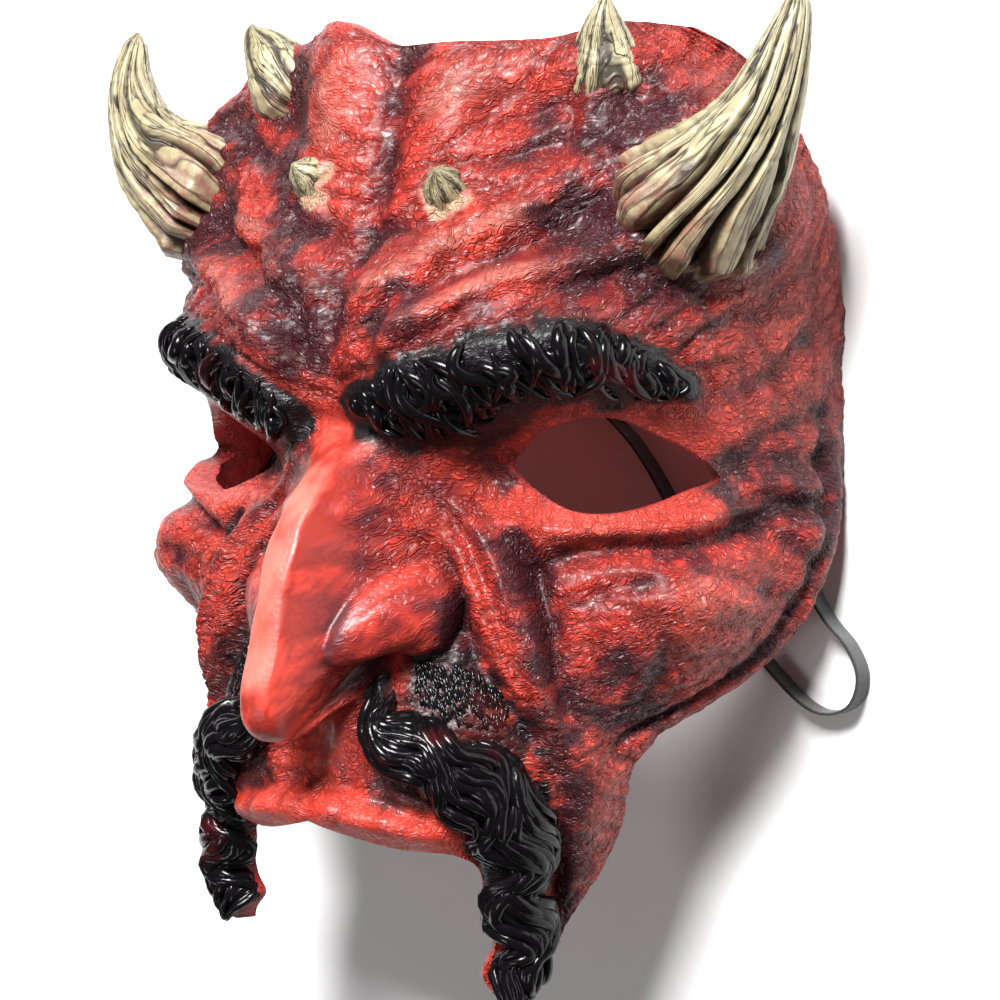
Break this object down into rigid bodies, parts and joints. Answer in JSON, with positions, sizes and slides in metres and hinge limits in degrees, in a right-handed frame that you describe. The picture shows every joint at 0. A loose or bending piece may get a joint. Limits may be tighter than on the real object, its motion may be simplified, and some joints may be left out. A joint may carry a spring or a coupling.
{
  "type": "half mask",
  "caption": "Moulded red latex half mask of a scowling horned devil, with hooked nose, open eye holes, drooping black moustache and an elastic strap.",
  "frame": {"origin": "on the surface the mask lies on, under the middle of its width and length, the strap left out", "axes": "+Z out of the face, +Y from the mouth to the forehead, +X to the right of the face as it is seen"},
  "size_m": [0.1956, 0.2326, 0.1145],
  "materials": {
    "red_latex": "glossy red and black airbrushed latex",
    "black_elastic": "matt woven elastic"
  },
  "bodies": {
    "root": {"mask_shell": "red_latex", "strap": "black_elastic"}
  },
  "joints": []
}
